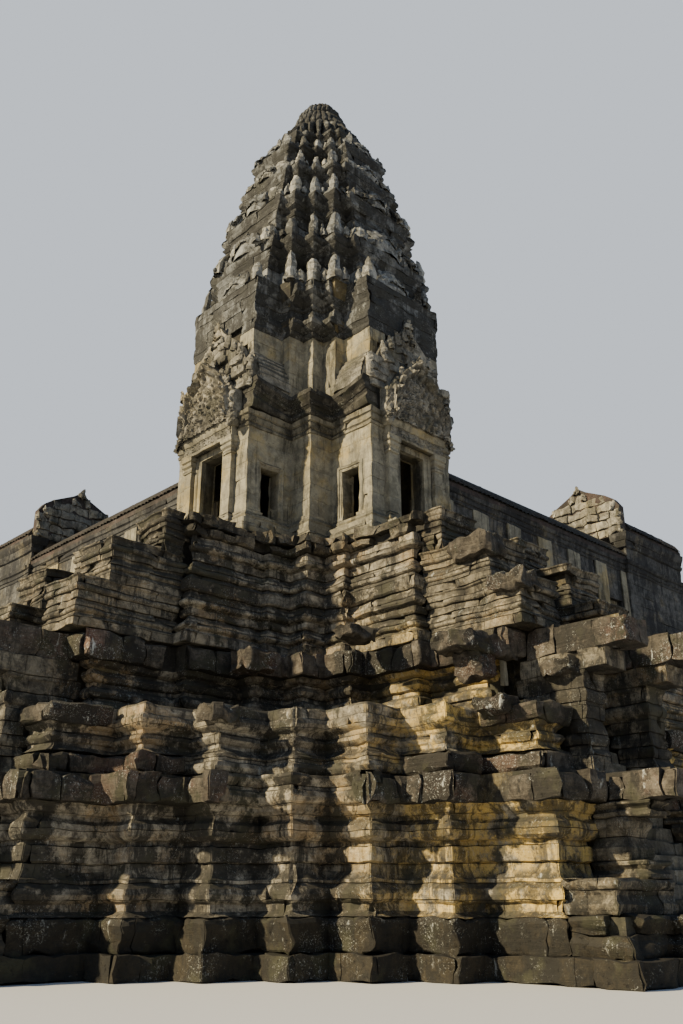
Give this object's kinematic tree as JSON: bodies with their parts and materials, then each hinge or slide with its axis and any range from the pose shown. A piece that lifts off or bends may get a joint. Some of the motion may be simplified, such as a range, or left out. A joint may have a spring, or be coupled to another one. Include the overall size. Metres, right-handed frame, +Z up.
{
  "type": "khmer temple corner tower with stepped base and galleries",
  "caption": "Lotus-bud temple tower on a three-tier moulded stone base with two steep stairs and the first bays of two galleries",
  "frame": {"origin": "on the tower's vertical axis at ground level", "axes": "+Z up; -X is the west stair and porch, -Y the south stair and porch; the galleries run along +X and +Y"},
  "size_m": [38.38, 38.38, 35.1],
  "materials": {
    "base_stone": "weathered sandstone with black and ochre stains",
    "step_stone": "worn sandstone",
    "wall_stone": "weathered grey-gold sandstone",
    "carved_stone": "carved sandstone with lichen",
    "crown_stone": "weathered sandstone with lichen",
    "roof_stone": "dark weathered sandstone"
  },
  "bodies": {
    "root": {"lower_tier_corner": "base_stone", "lower_tier_east_wing": "base_stone", "lower_tier_north_wing": "base_stone", "middle_tier_corner": "base_stone", "middle_tier_east_wing": "base_stone", "middle_tier_north_wing": "base_stone", "upper_tier_corner": "base_stone", "upper_tier_east_wing": "base_stone", "upper_tier_north_wing": "base_stone", "stair_south_lower_flight": "step_stone", "stair_south_upper_flight": "step_stone", "stair_west_lower_flight": "step_stone", "stair_west_upper_flight": "step_stone", "stair_south_outer_side_wall": "base_stone", "stair_south_inner_side_wall": "base_stone", "stair_west_outer_side_wall": "base_stone", "stair_west_inner_side_wall": "base_stone", "tower_plinth": "wall_stone", "south_west_corner_wall": "wall_stone", "south_east_corner_wall": "wall_stone", "north_east_corner_wall": "wall_stone", "north_west_corner_wall": "wall_stone", "south_door_wall": "wall_stone", "west_door_wall": "wall_stone", "south_porch_frame": "carved_stone", "west_porch_frame": "carved_stone", "main_cornice": "wall_stone", "south_porch_pediment": "carved_stone", "west_porch_pediment": "carved_stone", "south_arm_roof": "carved_stone", "east_arm_roof": "carved_stone", "north_arm_roof": "carved_stone", "west_arm_roof": "carved_stone", "tower_tier_1": "crown_stone", "tower_tier_2": "crown_stone", "tower_tier_3": "crown_stone", "tower_tier_4": "crown_stone", "tower_tier_5": "crown_stone", "tower_tier_6": "crown_stone", "lotus_finial": "crown_stone", "east_gallery_plinth": "wall_stone", "north_gallery_plinth": "wall_stone", "east_gallery_outer_wall": "wall_stone", "north_gallery_outer_wall": "wall_stone", "east_gallery_court_wall": "wall_stone", "north_gallery_court_wall": "wall_stone", "east_gallery_roof": "roof_stone", "north_gallery_roof": "roof_stone", "east_pavilion_roof": "roof_stone", "north_pavilion_roof": "roof_stone"}
  },
  "joints": []
}
